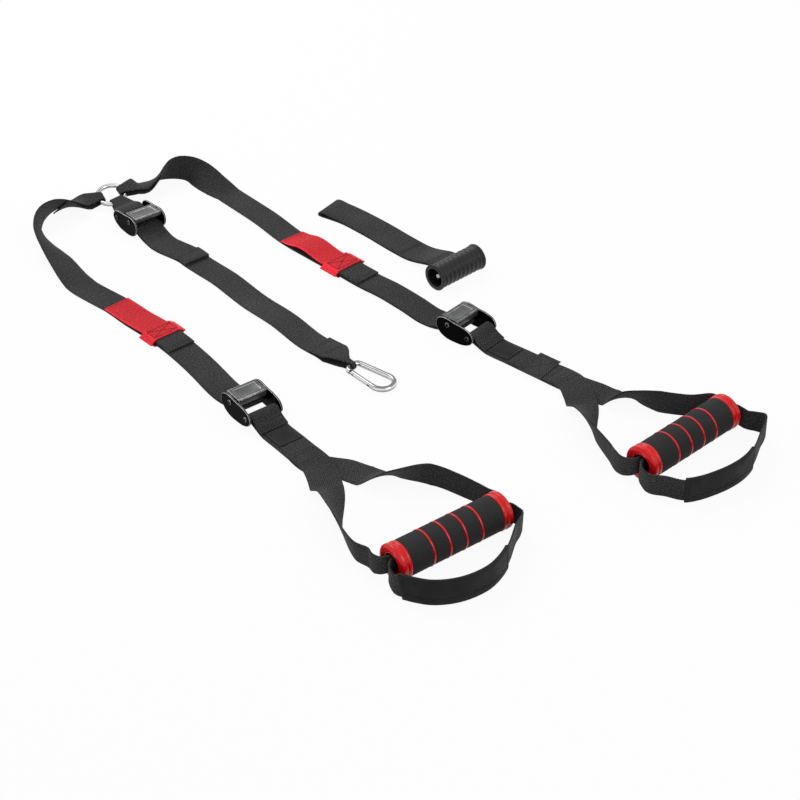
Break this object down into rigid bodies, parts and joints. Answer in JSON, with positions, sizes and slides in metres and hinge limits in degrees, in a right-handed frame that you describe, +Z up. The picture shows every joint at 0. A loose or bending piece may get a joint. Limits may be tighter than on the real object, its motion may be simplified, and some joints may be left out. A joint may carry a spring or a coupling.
{
  "type": "suspension trainer",
  "caption": "Suspension trainer with cam-buckle webbing legs on a steel ring, foam grips with foot loops, a centre strap with a carabiner, and a door anchor.",
  "frame": {"origin": "middle of the laid-out trainer's bounding box, on the floor that it lies on", "axes": "+Z up from the floor; +Y away from the picture's viewer, towards the steel ring's end; +X to the viewer's right"},
  "size_m": [0.8997, 0.8941, 0.0438],
  "materials": {
    "webbing": "matte woven",
    "red_webbing": "matte woven",
    "label": "smooth satin",
    "pad_fabric": "smooth",
    "black_metal": "glossy black",
    "chrome": "polished",
    "spring_steel": "bright",
    "red_plastic": "glossy",
    "foam": "matte foam",
    "rubber": "satin"
  },
  "bodies": {
    "straps": {"anchor_loop": "webbing", "centre_strap": "webbing", "centre_tail_hem": "webbing", "left_leg_strap": "webbing", "left_tail_hem": "webbing", "left_adjuster_sleeve": "red_webbing", "left_pull_tab": "red_webbing", "right_leg_strap": "webbing", "right_tail_hem": "webbing", "right_adjuster_sleeve": "red_webbing", "right_pull_tab": "red_webbing", "centre_buckle_frame": "black_metal", "centre_lever_pin": "spring_steel", "centre_lever_spring": "spring_steel", "centre_anchor_bar": "black_metal", "left_buckle_frame": "black_metal", "left_lever_pin": "spring_steel", "left_lever_spring": "spring_steel", "left_anchor_bar": "black_metal", "right_buckle_frame": "black_metal", "right_lever_pin": "spring_steel", "right_lever_spring": "spring_steel", "right_anchor_bar": "black_metal"},
    "ring": {"ring": "chrome"},
    "centre_lever": {"centre_cam_lever": "black_metal"},
    "left_lever": {"left_cam_lever": "black_metal"},
    "right_lever": {"right_cam_lever": "black_metal"},
    "carabiner": {"carabiner_body": "chrome", "carabiner_gate_pin": "spring_steel"},
    "gate": {"carabiner_gate": "chrome", "carabiner_gate_spring": "spring_steel"},
    "left_handle": {"left_handle_strap": "webbing", "left_label": "label", "left_foot_strap": "webbing", "left_foot_pad": "pad_fabric"},
    "right_handle": {"right_handle_strap": "webbing", "right_label": "label", "right_yoke_patch": "webbing", "right_foot_strap": "webbing", "right_foot_pad": "pad_fabric"},
    "left_grip": {"left_grip_core": "red_plastic", "left_grip_foam": "foam", "left_grip_stripe_a": "red_plastic", "left_grip_stripe_b": "red_plastic", "left_grip_stripe_c": "red_plastic", "left_grip_stripe_d": "red_plastic", "left_grip_far_cap": "red_plastic", "left_grip_near_cap": "red_plastic"},
    "right_grip": {"right_grip_core": "red_plastic", "right_grip_foam": "foam", "right_grip_stripe_a": "red_plastic", "right_grip_stripe_b": "red_plastic", "right_grip_stripe_c": "red_plastic", "right_grip_stripe_d": "red_plastic", "right_grip_far_cap": "red_plastic", "right_grip_near_cap": "red_plastic"},
    "door_anchor": {"door_strap": "webbing", "door_roller": "rubber", "door_rod": "spring_steel"}
  },
  "joints": [
    {"name": "ring_turn", "type": "hinge", "parent": "straps", "child": "ring", "pos_m": [-0.36202, 0.38355, 0.01132], "axis": [0, -0.2079, 0.9781], "continuous": true},
    {"name": "centre_lever_open", "type": "hinge", "parent": "straps", "child": "centre_lever", "pos_m": [-0.30897, 0.30698, 0.0209], "axis": [0.788, 0.6157, 0], "range_deg": [0, 32], "stiffness_Nm_per_rad": 0.06, "springref_deg": -28.65},
    {"name": "left_lever_open", "type": "hinge", "parent": "straps", "child": "left_lever", "pos_m": [-0.14689, -0.10164, 0.0209], "axis": [-0.788, -0.6157, 0], "range_deg": [0, 32], "stiffness_Nm_per_rad": 0.06, "springref_deg": -28.65},
    {"name": "right_lever_open", "type": "hinge", "parent": "straps", "child": "right_lever", "pos_m": [0.10458, 0.06407, 0.0209], "axis": [-0.6561, -0.7547, 0], "range_deg": [0, 32], "stiffness_Nm_per_rad": 0.06, "springref_deg": -28.65},
    {"name": "carabiner_swing", "type": "hinge", "parent": "straps", "child": "carabiner", "pos_m": [-0.02659, -0.01923, 0.0059], "axis": [-0.6561, -0.7547, 0], "range_deg": [0, 90]},
    {"name": "gate_open", "type": "hinge", "parent": "carabiner", "child": "gate", "pos_m": [-0.025, -0.03466, 0.00547], "axis": [0.0288, -0.025, 0.9993], "range_deg": [0, 25], "stiffness_Nm_per_rad": 0.03, "springref_deg": -22.92},
    {"name": "left_handle_swing", "type": "hinge", "parent": "straps", "child": "left_handle", "pos_m": [-0.1278, -0.12607, 0.014], "axis": [-0.788, -0.6157, 0], "range_deg": [0, 80]},
    {"name": "right_handle_swing", "type": "hinge", "parent": "straps", "child": "right_handle", "pos_m": [0.12798, 0.04374, 0.014], "axis": [-0.6561, -0.7547, 0], "range_deg": [0, 80]},
    {"name": "left_grip_spin", "type": "hinge", "parent": "left_handle", "child": "left_grip", "pos_m": [0.08142, -0.36018, 0.0219], "axis": [0.7934, 0.6088, 0], "continuous": true},
    {"name": "right_grip_spin", "type": "hinge", "parent": "right_handle", "child": "right_grip", "pos_m": [0.3519, -0.18474, 0.0219], "axis": [0.7266, 0.6871, 0], "continuous": true},
    {"name": "door_anchor_lift", "type": "slide", "parent": "straps", "child": "door_anchor", "axis": [0, 0, 1], "range_m": [0, 0.3]}
  ]
}
